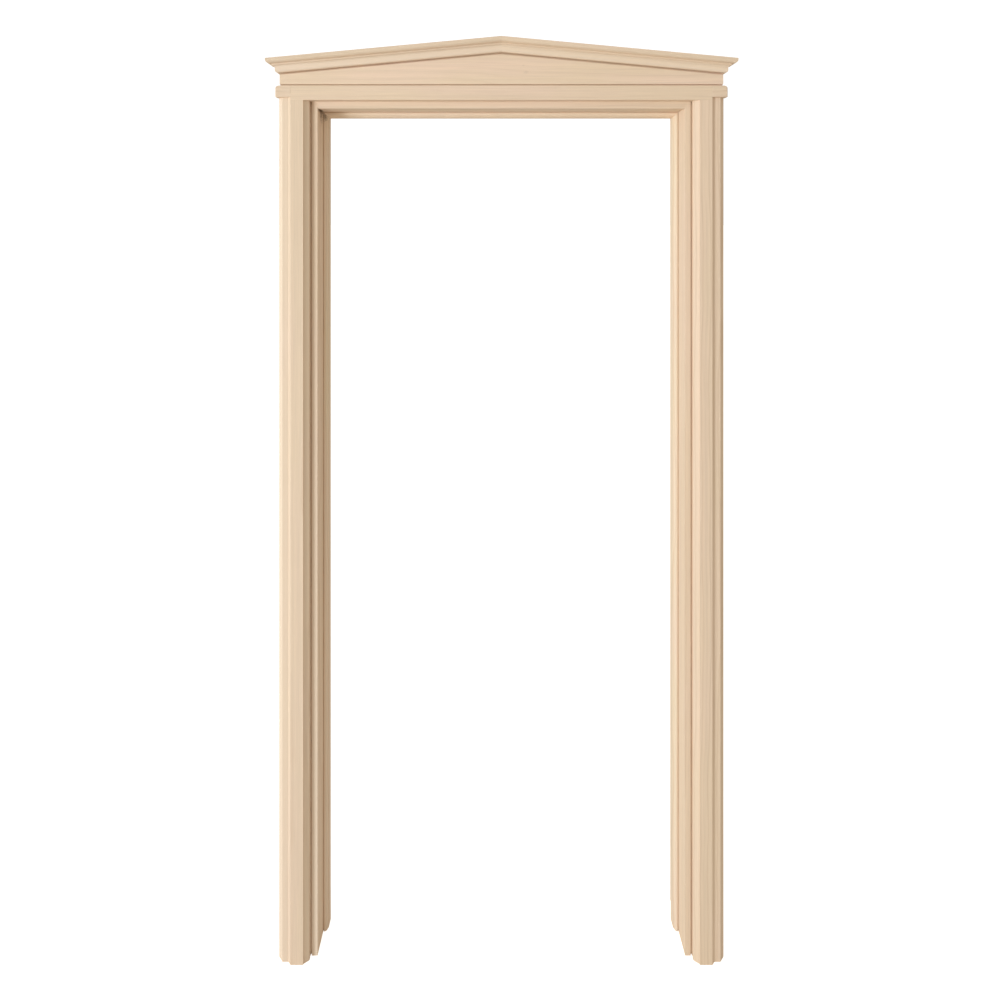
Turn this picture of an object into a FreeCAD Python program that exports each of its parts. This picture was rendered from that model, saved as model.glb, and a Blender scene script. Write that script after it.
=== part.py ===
# Door frame with a gabled crosshead: a timber lining with planted stops, moulded
# casings on the two legs, and a crosshead of band, ears, gable board and raking crown.
# Millimetres. X runs to the right, Y into the wall, Z up. The origin is on the floor,
# midway between the legs and midway in the depth; the face looks along -Y.
import FreeCAD, Part
import math
import os
import Sketcher

# Driving dimensions, one cell each. The names are used in the expressions below.
SIZES = {
    "clear_wide": 865,          # between the two jambs
    "clear_high": 1995,         # floor to the underside of the head jamb
    "jamb_thick": 32,
    "jamb_deep": 117,
    "trench_deep": 10,          # housing in the head jamb that takes each leg jamb
    "horn_long": 20,            # head jamb past the outer face of each leg jamb
    "reveal_deep": 48,          # front edge of the jamb back to the stop
    "stop_deep": 27,            # the rest of the jamb takes the leaf behind the stop
    "stop_thick": 11.5,
    "stop_fillet": 1.5,         # flat left at the inner end of the stop's ovolo
    "stop_quirk": 2,            # square groove where the stop's front meets the jamb
    "margin": 16.5,             # edge of the jamb left showing beside casing and band
    "quirk_wide": 3,            # groove down the jamb's front edge beside the casing
    "quirk_deep": 3.5,
    "casing_wide": 73.5,
    "casing_thick": 18,
    "strip_wide": 25,           # thin outer strip of the casing
    "strip_thick": 12,
    "bevel_wide": 11,           # bevel on the outer edge of the strip
    "bevel_deep": 10,
    "rise_wide": 7,             # slope from the outer strip up to the flat
    "slope_wide": 12,           # slope from the flat down to the inner edge
    "slope_step": 2,            # drop from the flat to the start of the slope
    "inner_thick": 9,
    "under_wide": 3,            # undercut at the back of the inner edge
    "under_high": 4,
    "band_high": 33.6,
    "ear_out": 4.5,             # ear past the outer edge of the casing
    "ear_lift": 7,              # underside of the ear above the underside of the band
    "ear_top_round": 9,
    "ear_low_round": 1.5,
    "ear_edge_round": 4,        # upright front edge of the ear
    "gable_inset": 6.5,         # end of the gable board inside the edge of the casing
    "gable_end_high": 29,       # gable board showing at its ends, under the crown
    "joint_high": 3,            # rebate along the foot of the gable board
    "joint_deep": 6,
    "crevice_high": 4.2,        # groove in the gable board under each rake of the crown
    "crevice_deep": 7,
    "gable_pitch": 5.3,         # degrees
    "crown_high": 30.9,
    "crown_out": 25,
    "foot_out": 1.5,            # crown, from the bottom up: flat foot, bead, neck, cove,
    "bead_round": 6.8,          # step, round and fascia
    "neck_high": 3.2,
    "cove_round": 5.7,
    "step_high": 3.7,
    "crown_round": 7.5,
    "nail_wide": 2.5,
    "nail_cover": 7,            # nail's head behind the plane of the face, in the slope
    "nail_bite": 28,            # nail in the jamb
    "nail_end": 90,             # first and last nail from the ends of the leg
    "nail_count": 5,
    "band_nail_count": 3,
    "screw_wide": 5,
    "screw_head": 10,
    "screw_long": 75,
    "screw_inset": 30,          # screw from the front and back edges of the jamb
    "dowel_wide": 8,
    "dowel_long": 40,
    "dowel_gap": 1,             # free space at each end of a dowel
    "dowel_count": 4,
}

# Places worked out from the driving dimensions.
HALF_CLEAR = "(Sizes.clear_wide / 2)"
JAMB_OUT = f"({HALF_CLEAR} + Sizes.jamb_thick)"
CASING_IN = f"({HALF_CLEAR} + Sizes.margin)"
CASING_OUT = f"({CASING_IN} + Sizes.casing_wide)"
STRIP_IN = f"({CASING_OUT} - Sizes.strip_wide)"
EAR_IN = f"({STRIP_IN} - Sizes.rise_wide)"
QUIRK_IN = f"({CASING_IN} - Sizes.quirk_wide)"
EAR_END = f"({CASING_OUT} + Sizes.ear_out)"
GABLE_END = f"({CASING_OUT} - Sizes.gable_inset)"
WALL_FACE = "((Sizes.casing_thick + Sizes.crown_out - Sizes.jamb_deep) / 2)"
HEAD_TOP = "(Sizes.clear_high + Sizes.jamb_thick)"
BAND_LOW = "(Sizes.clear_high + Sizes.margin)"
BAND_TOP = f"({BAND_LOW} + Sizes.band_high)"
EAR_LOW = f"({BAND_LOW} + Sizes.ear_lift)"
FALL = "tan(Sizes.gable_pitch * 1deg)"
PLUMB = "cos(Sizes.gable_pitch * 1deg)"
CROWN_LOW_END = f"({BAND_TOP} + Sizes.gable_end_high)"
CROWN_LOW_MID = f"({CROWN_LOW_END} + {GABLE_END} * {FALL})"
CROWN_TOP_END = f"({CROWN_LOW_END} + Sizes.crown_high / {PLUMB})"
CROWN_TOP_MID = f"({CROWN_LOW_MID} + Sizes.crown_high / {PLUMB})"


def size_sheet(doc):
    """One row per driving dimension: its name and its value."""
    sheet = doc.addObject("Spreadsheet::Sheet", "Sizes")
    for row, (name, value) in enumerate(SIZES.items(), start=1):
        sheet.set(f"A{row}", name)
        sheet.set(f"B{row}", str(value))
        sheet.setAlias(f"B{row}", name)
    doc.recompute()
    return sheet


def new_body(doc, name):
    """A body named after its piece, with its frame on the floor at the wall's face."""
    body = doc.addObject("PartDesign::Body", name)
    body.Label = name
    body.AllowCompound = True
    body.setExpression(".Placement.Base.y", WALL_FACE)
    return body


def new_sketch(body, name, plane_role, offset="0"):
    """A sketch on one of the body's origin planes, moved along the plane's normal."""
    sketch = body.newObject("Sketcher::SketchObject", name)
    plane = [f for f in body.Origin.OriginFeatures if f.Role == plane_role][0]
    sketch.AttachmentSupport = (plane, "")
    sketch.MapMode = "FlatFace"
    if offset != "0":
        sketch.setExpression(".AttachmentOffset.Base.z", offset)
    return sketch


def hold_point(sketch, geometry, end, across, up):
    """Holds one end of a line or arc, or a circle's centre, at a place given by expressions."""
    for kind, axis, place in (("DistanceX", -2, across), ("DistanceY", -1, up)):
        if place == "0":
            sketch.addConstraint(Sketcher.Constraint("PointOnObject", geometry, end, axis))
            continue
        value = float(sketch.evalExpression(place))
        rule = sketch.addConstraint(Sketcher.Constraint(kind, -1, 1, geometry, end, value))
        sketch.setExpression(f"Constraints[{rule}]", place)


def add_arc(sketch, start, finish, radius, bend):
    """A short arc between two points; bend is +1 where it turns left. Gives its first end."""
    chord = finish - start
    left = FreeCAD.Vector(-chord.y, chord.x, 0).normalize()
    reach = math.sqrt(max(radius**2 - (chord.Length / 2) ** 2, 0))
    centre = (start + finish) * 0.5 + left * (bend * reach)
    first, last = (start, finish) if bend > 0 else (finish, start)
    angles = [math.atan2(p.y - centre.y, p.x - centre.x) for p in (first, last)]
    circle = Part.Circle(centre, FreeCAD.Vector(0, 0, 1), radius)
    index = sketch.addGeometry(Part.ArcOfCircle(circle, angles[0], angles[1]), False)
    return index, (1 if bend > 0 else 2)


def outline(sketch, corners, side=1):
    """A closed outline. A corner is (across, up), or (across, up, radius, bend) where an
    arc leads on to the next corner. side -1 gives the other hand."""
    sign = "" if side > 0 else "-"
    places = [("0" if c[0] == "0" else f"{sign}({c[0]})", c[1]) for c in corners]
    points = [FreeCAD.Vector(float(sketch.evalExpression(a)), float(sketch.evalExpression(u)), 0)
              for a, u in places]
    edges = []
    for i, corner in enumerate(corners):
        start, finish = points[i], points[(i + 1) % len(points)]
        if len(corner) == 2:
            edges.append((sketch.addGeometry(Part.LineSegment(start, finish), False), 1))
            continue
        radius = float(sketch.evalExpression(corner[2]))
        edges.append(add_arc(sketch, start, finish, radius, corner[3] * side))
        rule = sketch.addConstraint(Sketcher.Constraint("Radius", edges[-1][0], radius))
        sketch.setExpression(f"Constraints[{rule}]", corner[2])
    for i, (edge, first) in enumerate(edges):
        after, after_first = edges[(i + 1) % len(edges)]
        sketch.addConstraint(Sketcher.Constraint("Coincident", edge, 3 - first, after, after_first))
        hold_point(sketch, edge, first, *places[i])


def rectangle(left, right, low, top):
    return [(left, low), (right, low), (right, top), (left, top)]


def circles(sketch, centres, diameter):
    """One circle of the same diameter at each centre."""
    width = float(sketch.evalExpression(diameter))
    for across, up in centres:
        spot = FreeCAD.Vector(float(sketch.evalExpression(across)), float(sketch.evalExpression(up)), 0)
        index = sketch.addGeometry(Part.Circle(spot, FreeCAD.Vector(0, 0, 1), width / 2), False)
        rule = sketch.addConstraint(Sketcher.Constraint("Diameter", index, width))
        sketch.setExpression(f"Constraints[{rule}]", diameter)
        hold_point(sketch, index, 3, across, up)


def pad(body, sketch, length, middle=False, reverse=False):
    feature = body.newObject("PartDesign::Pad", sketch.Name + "_pad")
    feature.Profile = sketch
    feature.Midplane = middle
    feature.Reversed = reverse
    feature.setExpression("Length", length)
    return feature


def cut(body, sketch, length):
    """A pocket cut to both sides of its sketch, length long in all."""
    feature = body.newObject("PartDesign::Pocket", sketch.Name + "_cut")
    feature.Profile = sketch
    feature.Midplane = True
    feature.setExpression("Length", length)
    return feature


# Fixings. Each set is a list of centres on one plane, used by the holes and by the fixing.

def spread(first, last, index, count):
    """Place number index of count even places from first to last."""
    return f"({first} + ({last} - {first}) * {index / (count - 1)})"


def casing_nail_spots(side):
    """Nails through one casing into the jamb's edge, on the XZ plane."""
    across = f"{side} * ({CASING_IN} + {JAMB_OUT}) / 2"
    last = f"({BAND_LOW} - Sizes.nail_end)"
    count = SIZES["nail_count"]
    return [(across, spread("Sizes.nail_end", last, i, count)) for i in range(count)]


def band_nail_spots():
    """Nails through the band into the head jamb's edge, on the XZ plane."""
    up = f"({BAND_LOW} + {HEAD_TOP}) / 2"
    first = f"(-{CASING_IN} + Sizes.nail_end)"
    last = f"({CASING_IN} - Sizes.nail_end)"
    count = SIZES["band_nail_count"]
    return [(spread(first, last, i, count), up) for i in range(count)]


def screw_spots():
    """Screws down through the head jamb into the end of each leg jamb, on the XY plane."""
    across = f"({HALF_CLEAR} + Sizes.jamb_thick / 2)"
    ways = ("Sizes.screw_inset", "(Sizes.jamb_deep - Sizes.screw_inset)")
    return [(f"{side} * {across}", along) for side in (-1, 1) for along in ways]


def dowel_spots():
    """Dowels standing in the joint between band and gable board, on the XY plane."""
    count = SIZES["dowel_count"]
    first = f"(-{EAR_IN} + Sizes.nail_end)"
    last = f"({EAR_IN} - Sizes.nail_end)"
    return [(spread(first, last, i, count), "-Sizes.casing_thick / 2") for i in range(count)]


# A nail runs from the filler to its bite; its sketch stands halfway along it.
NAIL_LONG = "(Sizes.casing_thick - Sizes.nail_cover + Sizes.nail_bite)"
NAIL_MID = "((Sizes.casing_thick - Sizes.nail_cover - Sizes.nail_bite) / 2)"
SCREW_MID = f"({HEAD_TOP} - Sizes.screw_long / 2)"


def nail_holes(body, spots):
    holes = new_sketch(body, body.Name + "_nail_holes", "XZ_Plane", NAIL_MID)
    circles(holes, spots, "Sizes.nail_wide")
    cut(body, holes, NAIL_LONG)


def screw_holes(body):
    holes = new_sketch(body, body.Name + "_screw_holes", "XY_Plane", SCREW_MID)
    circles(holes, screw_spots(), "Sizes.screw_wide")
    cut(body, holes, "Sizes.screw_long")


def dowel_holes(body):
    holes = new_sketch(body, body.Name + "_dowel_holes", "XY_Plane", BAND_TOP)
    circles(holes, dowel_spots(), "Sizes.dowel_wide")
    cut(body, holes, "(Sizes.dowel_long + 2 * Sizes.dowel_gap)")


# The lining: two leg jambs housed in a head jamb. A quirk is run down the front edges
# beside the casings, up to the band.

def leg_jamb(doc, name, side):
    body = new_body(doc, name)
    section = new_sketch(body, name + "_section", "XY_Plane")
    outline(section, [(HALF_CLEAR, "0"), (QUIRK_IN, "0"), (QUIRK_IN, "Sizes.quirk_deep"),
                      (CASING_IN, "Sizes.quirk_deep"), (CASING_IN, "0"), (JAMB_OUT, "0"),
                      (JAMB_OUT, "Sizes.jamb_deep"), (HALF_CLEAR, "Sizes.jamb_deep")], side)
    pad(body, section, "(Sizes.clear_high + Sizes.trench_deep)")
    nail_holes(body, casing_nail_spots(side))
    screw_holes(body)
    return body


def head_jamb(doc, name):
    body = new_body(doc, name)
    end = f"({JAMB_OUT} + Sizes.horn_long)"
    board = new_sketch(body, name + "_board", "XZ_Plane")
    outline(board, rectangle(f"-{end}", end, "Sizes.clear_high", HEAD_TOP))
    pad(body, board, "Sizes.jamb_deep", reverse=True)
    trench_top = "(Sizes.clear_high + Sizes.trench_deep)"
    for side, hand in ((-1, "left"), (1, "right")):
        trench = new_sketch(body, f"{name}_trench_{hand}", "XZ_Plane")
        outline(trench, rectangle(HALF_CLEAR, JAMB_OUT, "Sizes.clear_high", trench_top), side)
        cut(body, trench, "3 * Sizes.jamb_deep")
        quirk = new_sketch(body, f"{name}_quirk_{hand}", "XZ_Plane")
        outline(quirk, rectangle(QUIRK_IN, CASING_IN, "Sizes.clear_high", BAND_LOW), side)
        cut(body, quirk, "2 * Sizes.quirk_deep")
    nail_holes(body, band_nail_spots())
    screw_holes(body)
    sinks = new_sketch(body, name + "_screw_sinks", "XY_Plane", HEAD_TOP)
    circles(sinks, screw_spots(), "Sizes.screw_head")
    sink = body.newObject("PartDesign::Pocket", name + "_sink_cut")
    sink.Profile = sinks
    sink.setExpression("Length", "(Sizes.screw_head - Sizes.screw_wide) / 2")
    sink.TaperAngle = -45
    return body


# The stops: strips with a quirk and an ovolo on the front edge and a square back for the
# leaf, mitred at the top corners.

STOP_ROUND = "(Sizes.stop_thick - Sizes.stop_quirk - Sizes.stop_fillet)"


def stop_section(jamb_face):
    """Section of a stop as (thickness, depth) corners, from its back round to its front."""
    inner = f"({jamb_face} - Sizes.stop_thick)"
    arris = f"({inner} + Sizes.stop_fillet)"
    quirk = f"({jamb_face} - Sizes.stop_quirk)"
    back = "(Sizes.reveal_deep + Sizes.stop_deep)"
    turn = f"(Sizes.reveal_deep + {STOP_ROUND})"
    floor = "(Sizes.reveal_deep + Sizes.stop_quirk)"
    return [(jamb_face, floor), (jamb_face, back), (inner, back), (inner, turn),
            (arris, turn, STOP_ROUND, -1), (quirk, "Sizes.reveal_deep"), (quirk, floor)]


def side_stop(doc, name, side):
    body = new_body(doc, name)
    section = new_sketch(body, name + "_section", "XY_Plane")
    outline(section, stop_section(HALF_CLEAR), side)
    pad(body, section, "Sizes.clear_high")
    mitre = new_sketch(body, name + "_mitre", "XZ_Plane")
    inner = f"({HALF_CLEAR} - Sizes.stop_thick)"
    low = "(Sizes.clear_high - Sizes.stop_thick)"
    outline(mitre, [(HALF_CLEAR, "Sizes.clear_high"), (inner, "Sizes.clear_high"), (inner, low)],
            side)
    cut(body, mitre, "3 * Sizes.jamb_deep")
    return body


def head_stop(doc, name):
    body = new_body(doc, name)
    section = new_sketch(body, name + "_section", "YZ_Plane")
    corners = [(deep, up, *bend) for up, deep, *bend in stop_section("Sizes.clear_high")]
    outline(section, [(c[0], c[1], c[2], -c[3]) if len(c) == 4 else c for c in corners])
    pad(body, section, "Sizes.clear_wide", middle=True)
    low = "(Sizes.clear_high - Sizes.stop_thick)"
    reach = f"({HALF_CLEAR} - Sizes.stop_thick)"
    for side, hand in ((-1, "left"), (1, "right")):
        mitre = new_sketch(body, f"{name}_mitre_{hand}", "XZ_Plane")
        outline(mitre, [(HALF_CLEAR, "Sizes.clear_high"), (HALF_CLEAR, low), (reach, low)], side)
        cut(body, mitre, "3 * Sizes.jamb_deep")
    return body


# The casings: a thin bevelled outer strip, a rise, the flat, and a small step down to the
# slope that ends at the undercut inner edge.

def leg_casing(doc, name, side):
    body = new_body(doc, name)
    under_in = f"({CASING_IN} + Sizes.under_wide)"
    flat_in = f"({CASING_IN} + Sizes.slope_wide)"
    slope_top = "(Sizes.slope_step - Sizes.casing_thick)"
    bevel_in = f"({CASING_OUT} - Sizes.bevel_wide)"
    bevel_back = "(Sizes.bevel_deep - Sizes.strip_thick)"
    section = new_sketch(body, name + "_section", "XY_Plane")
    outline(section, [(under_in, "0"), (under_in, "-Sizes.under_high"),
                      (CASING_IN, "-Sizes.under_high"), (CASING_IN, "-Sizes.inner_thick"),
                      (flat_in, slope_top),
                      (flat_in, "-Sizes.casing_thick"), (EAR_IN, "-Sizes.casing_thick"),
                      (STRIP_IN, "-Sizes.strip_thick"), (bevel_in, "-Sizes.strip_thick"),
                      (CASING_OUT, bevel_back), (CASING_OUT, "0")], side)
    pad(body, section, EAR_LOW)
    notch = new_sketch(body, name + "_notch", "XZ_Plane")
    outline(notch, rectangle(CASING_IN, EAR_IN, BAND_LOW, EAR_LOW), side)
    cut(body, notch, "4 * Sizes.casing_thick")
    nail_holes(body, casing_nail_spots(side))
    return body


# The crosshead: band, two ears, gable board, two raking crowns and two returns.

def band(doc, name):
    body = new_body(doc, name)
    board = new_sketch(body, name + "_board", "XZ_Plane")
    outline(board, rectangle(f"-{EAR_IN}", EAR_IN, BAND_LOW, BAND_TOP))
    pad(body, board, "Sizes.casing_thick")
    nail_holes(body, band_nail_spots())
    dowel_holes(body)
    return body


def ear(doc, name, side):
    body = new_body(doc, name)
    top_in = f"({EAR_END} - Sizes.ear_top_round)"
    top_low = f"({BAND_TOP} - Sizes.ear_top_round)"
    low_in = f"({EAR_END} - Sizes.ear_low_round)"
    low_top = f"({EAR_LOW} + Sizes.ear_low_round)"
    block = new_sketch(body, name + "_block", "XZ_Plane")
    outline(block, [(EAR_IN, EAR_LOW), (low_in, EAR_LOW, "Sizes.ear_low_round", 1),
                    (EAR_END, low_top), (EAR_END, top_low, "Sizes.ear_top_round", 1),
                    (top_in, BAND_TOP), (EAR_IN, BAND_TOP)], side)
    pad(body, block, "Sizes.casing_thick")
    edge_in = f"({EAR_END} - Sizes.ear_edge_round)"
    edge_back = "(Sizes.ear_edge_round - Sizes.casing_thick)"
    edge = new_sketch(body, name + "_edge", "XY_Plane", BAND_LOW)
    outline(edge, [(edge_in, "-Sizes.casing_thick", "Sizes.ear_edge_round", 1),
                   (EAR_END, edge_back), (EAR_END, "-Sizes.casing_thick")], side)
    cut(body, edge, "4 * Sizes.band_high")
    return body


def gable_board(doc, name):
    body = new_body(doc, name)
    board = new_sketch(body, name + "_board", "XZ_Plane")
    outline(board, [(f"-{GABLE_END}", BAND_TOP), (GABLE_END, BAND_TOP),
                    (GABLE_END, CROWN_TOP_END), ("0", CROWN_TOP_MID), (f"-{GABLE_END}", CROWN_TOP_END)])
    pad(body, board, "Sizes.casing_thick")
    joint = new_sketch(body, name + "_joint", "XZ_Plane", "Sizes.casing_thick")
    outline(joint, rectangle(f"-{EAR_END}", EAR_END, BAND_LOW, f"({BAND_TOP} + Sizes.joint_high)"))
    cut(body, joint, "2 * Sizes.joint_deep")
    crevice = new_sketch(body, name + "_crevice", "XZ_Plane", "Sizes.casing_thick")
    drop = f"Sizes.crevice_high / {PLUMB}"
    end = f"({CROWN_LOW_END} - Sizes.gable_inset * {FALL})"
    far = f"({GABLE_END} + Sizes.gable_inset)"
    outline(crevice, [("0", f"({CROWN_LOW_MID} - {drop})"), (far, f"({end} - {drop})"), (far, end),
                      ("0", CROWN_LOW_MID), (f"-{far}", end), (f"-{far}", f"({end} - {drop})")])
    cut(body, crevice, "2 * Sizes.crevice_deep")
    dowel_holes(body)
    return body


def crown_corners():
    """Right section of the crown as (out, up) corners from the foot of its back."""
    bead_out = "(Sizes.foot_out + Sizes.bead_round)"
    cove_low = "(Sizes.bead_round + Sizes.neck_high)"
    cove_out = f"({bead_out} + Sizes.cove_round)"
    cove_top = f"({cove_low} + Sizes.cove_round)"
    step_top = f"({cove_top} + Sizes.step_high)"
    round_in = "(Sizes.crown_out - Sizes.crown_round)"
    round_top = f"({step_top} + Sizes.crown_round)"
    return [("0", "0"), ("Sizes.foot_out", "0", "Sizes.bead_round", 1),
            (bead_out, "Sizes.bead_round"),
            (bead_out, cove_low, "Sizes.cove_round", -1), (cove_out, cove_top),
            (cove_out, step_top), (round_in, step_top, "Sizes.crown_round", 1),
            ("Sizes.crown_out", round_top), ("Sizes.crown_out", "Sizes.crown_high"),
            ("0", "Sizes.crown_high")]


def corner_cut(body, name, side, keep_front):
    """Cuts the body along the upright plane that mitres crown and return."""
    reach = "(2 * Sizes.crown_out + Sizes.casing_thick)"
    front = f"(-Sizes.casing_thick - {reach})"
    face = "-Sizes.casing_thick"
    far = f"({GABLE_END} + {reach})"
    mitre = new_sketch(body, name + "_mitre", "XY_Plane", CROWN_LOW_END)
    if keep_front:
        corners = [(GABLE_END, face), (far, front), (far, face)]
    else:
        corners = [(GABLE_END, face), (GABLE_END, front), (far, front)]
    outline(mitre, corners, side)
    cut(body, mitre, f"2 * ({GABLE_END} + Sizes.crown_high)")


def raking_crown(doc, name, side):
    """Runs down the pitch from the middle, where it is cut plumb, to the corner mitre."""
    body = new_body(doc, name)
    section = new_sketch(body, name + "_section", "YZ_Plane")
    start = "Sizes.crown_high"
    section.AttachmentOffset = FreeCAD.Placement(
        FreeCAD.Vector(), FreeCAD.Rotation(FreeCAD.Vector(side, 0, 0), SIZES["gable_pitch"]))
    section.setExpression(".AttachmentOffset.Base.y",
                          f"{CROWN_LOW_MID} + {start} * sin(Sizes.gable_pitch * 1deg)")
    section.setExpression(".AttachmentOffset.Base.z", f"{-side} * {start} * {PLUMB}")
    section.setExpression(".AttachmentOffset.Rotation.Angle", "Sizes.gable_pitch * 1deg")
    corners = [(f"(-Sizes.casing_thick - {out})", up, *bend) for out, up, *bend in crown_corners()]
    outline(section, [(c[0], c[1], c[2], -c[3]) if len(c) == 4 else c for c in corners])
    reach = f"({GABLE_END} + 2 * Sizes.crown_out)"
    pad(body, section, f"({start} + {reach} / {PLUMB})", reverse=(side < 0))
    middle = new_sketch(body, name + "_middle", "XZ_Plane")
    outline(middle, rectangle(f"(-2 * {start})", "0", CROWN_LOW_END, f"({CROWN_TOP_MID} + {start})"),
            side)
    cut(body, middle, "4 * (Sizes.casing_thick + Sizes.crown_out)")
    corner_cut(body, name, side, keep_front=True)
    return body


def crown_return(doc, name, side):
    """Runs level from the corner mitre back to the wall, against the board's end. Its
    section is the rake's, stretched plumb and sheared so that the mitre closes."""
    body = new_body(doc, name)
    section = new_sketch(body, name + "_section", "XZ_Plane")
    corners = [(f"({GABLE_END} + {out})", f"({CROWN_LOW_END} + {up} / {PLUMB} - {out} * {FALL})", *bend)
               for out, up, *bend in crown_corners()]
    outline(section, corners, side)
    pad(body, section, "(Sizes.casing_thick + Sizes.crown_out)")
    corner_cut(body, name, side, keep_front=False)
    return body


# The fixings, each set one group of like solids.

def casing_nails(doc, name):
    body = new_body(doc, name)
    spots = casing_nail_spots(-1) + band_nail_spots() + casing_nail_spots(1)
    shanks = new_sketch(body, name + "_shanks", "XZ_Plane", NAIL_MID)
    circles(shanks, spots, "Sizes.nail_wide")
    pad(body, shanks, NAIL_LONG, middle=True)
    return body


def corner_screws(doc, name):
    body = new_body(doc, name)
    shanks = new_sketch(body, name + "_shanks", "XY_Plane", SCREW_MID)
    circles(shanks, screw_spots(), "Sizes.screw_wide")
    pad(body, shanks, "Sizes.screw_long", middle=True)
    heads = new_sketch(body, name + "_heads", "XY_Plane", HEAD_TOP)
    circles(heads, screw_spots(), "Sizes.screw_head")
    cone = pad(body, heads, "(Sizes.screw_head - Sizes.screw_wide) / 2", reverse=True)
    cone.TaperAngle = -45
    return body


def gable_dowels(doc, name):
    body = new_body(doc, name)
    pegs = new_sketch(body, name + "_pegs", "XY_Plane", BAND_TOP)
    circles(pegs, dowel_spots(), "Sizes.dowel_wide")
    pad(body, pegs, "Sizes.dowel_long", middle=True)
    return body


def build(doc):
    size_sheet(doc)
    pieces = [head_jamb(doc, "jamb_head"), head_stop(doc, "stop_head"), band(doc, "band"),
              gable_board(doc, "gable_board"), casing_nails(doc, "casing_nails"),
              corner_screws(doc, "corner_screws"), gable_dowels(doc, "gable_dowels")]
    for side, hand in ((-1, "left"), (1, "right")):
        pieces.append(leg_jamb(doc, f"jamb_{hand}", side))
        pieces.append(side_stop(doc, f"stop_{hand}", side))
        pieces.append(leg_casing(doc, f"casing_{hand}", side))
        pieces.append(ear(doc, f"ear_{hand}", side))
        pieces.append(raking_crown(doc, f"crown_rake_{hand}", side))
        pieces.append(crown_return(doc, f"crown_return_{hand}", side))
    doc.recompute()
    return pieces


def check(doc, pieces):
    """Stops if any object failed, or if a piece has no sound shape."""
    for item in doc.Objects:
        if "Invalid" in item.State or "Error" in item.State:
            raise RuntimeError(f"{item.Name} failed: {item.State}")
    for piece in pieces:
        if piece.Shape.isNull() or not piece.Shape.isValid() or not piece.Shape.Solids:
            raise RuntimeError(f"{piece.Label} has no sound shape")


def write(pieces):
    os.makedirs("parts", exist_ok=True)
    for piece in pieces:
        piece.Shape.exportStep(f"parts/{piece.Label}.step")
        box = piece.Shape.BoundBox
        print(f"{piece.Label}: {len(piece.Shape.Solids)} solids, {piece.Shape.Volume:.0f} mm3,"
              f" x {box.XMin:.1f} to {box.XMax:.1f}, y {box.YMin:.1f} to {box.YMax:.1f},"
              f" z {box.ZMin:.1f} to {box.ZMax:.1f}")


doc = FreeCAD.newDocument("door_frame")
pieces = build(doc)
check(doc, pieces)
write(pieces)
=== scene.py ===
import math

import bpy
import numpy as np
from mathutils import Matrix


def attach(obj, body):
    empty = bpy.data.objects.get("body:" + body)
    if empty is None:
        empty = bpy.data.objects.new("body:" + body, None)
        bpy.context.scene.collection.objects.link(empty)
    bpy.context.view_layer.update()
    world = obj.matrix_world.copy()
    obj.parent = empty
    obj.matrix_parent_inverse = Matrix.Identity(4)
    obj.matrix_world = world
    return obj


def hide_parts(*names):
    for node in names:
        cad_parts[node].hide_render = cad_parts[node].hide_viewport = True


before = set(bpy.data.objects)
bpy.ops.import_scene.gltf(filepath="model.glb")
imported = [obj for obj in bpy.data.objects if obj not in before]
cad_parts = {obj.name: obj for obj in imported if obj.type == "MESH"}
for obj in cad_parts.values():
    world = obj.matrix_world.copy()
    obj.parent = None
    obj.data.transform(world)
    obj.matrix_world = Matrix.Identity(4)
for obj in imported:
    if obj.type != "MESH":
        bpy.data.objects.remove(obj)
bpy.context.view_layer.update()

# Side jambs

# Two boards of pale, fine-grained softwood that line the opening, planed all over, with
# sandpapered arrises. A small groove runs down each front edge beside the casing, and the
# tops are let into the head jamb.

HALF_CLEAR = 0.4325
JAMB_OUT = 0.4645
JAMB_FRONT = -0.037
JAMB_BACK = 0.080
JAMB_TOP = 2.005
CASING_IN = 0.449
QUIRK_WIDE = 0.003
QUIRK_DEEP = 0.0035
QUIRK_IN = CASING_IN - QUIRK_WIDE
QUIRK_FLOOR = JAMB_FRONT + QUIRK_DEEP
EASED = 0.0007          # radius of a sandpapered arris
FINE = 0.0003           # radius of an arris as the cutter leaves it
# Arcs under this radius count as arrises and are painted paler, a painted highlight.
HIGHLIGHT_UNDER = 0.002    # arcs of less than this count as arrises, larger ones as mouldings
END_EASE = 0.0006       # easing of an end or a face that stands free
CUT_EASE = 0.00025      # easing of an end that meets another piece or the floor
END_STEPS = 5

ACROSS, BACKWARD, UPWARD = np.eye(3)


def soften(corners, steps=9):
    """Closed outline from rows of (a, b, radius). Each corner gives way to an arc of that
    radius which touches both sides, and the arc's points are equal turns apart. The
    second result is the sine of the way round an arris's arc, so 1 at its middle, and 0
    elsewhere: how much paler that arris is painted, a painted highlight."""
    rows = np.asarray(corners, float)
    at, radius = rows[:, :2], rows[:, 2:]
    back, on = np.roll(at, 1, 0) - at, np.roll(at, -1, 0) - at
    back /= np.linalg.norm(back, axis=1, keepdims=True)
    on /= np.linalg.norm(on, axis=1, keepdims=True)
    half = 0.5 * np.arccos(np.clip((back * on).sum(1, keepdims=True), -1, 1))
    inward = (back + on) / np.linalg.norm(back + on, axis=1, keepdims=True)
    middle = at + inward * radius / np.sin(half)
    first = at + back * radius / np.tan(half) - middle
    last = at + on * radius / np.tan(half) - middle
    turn = (math.pi - 2 * half)[:, :, None]
    share = np.linspace(0, 1, steps)[None, :, None]
    arc = np.sin((1 - share) * turn) * first[:, None] + np.sin(share * turn) * last[:, None]
    points = middle[:, None] + arc / np.sin(turn)
    # Painted highlight: each arris is painted paler, most at the middle of its arc.
    arris_highlight = np.where(radius < HIGHLIGHT_UNDER, 1.0, 0.0)[:, :, None] * np.sin(math.pi * share)
    return points.reshape(-1, 2), arris_highlight.reshape(-1)


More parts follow.
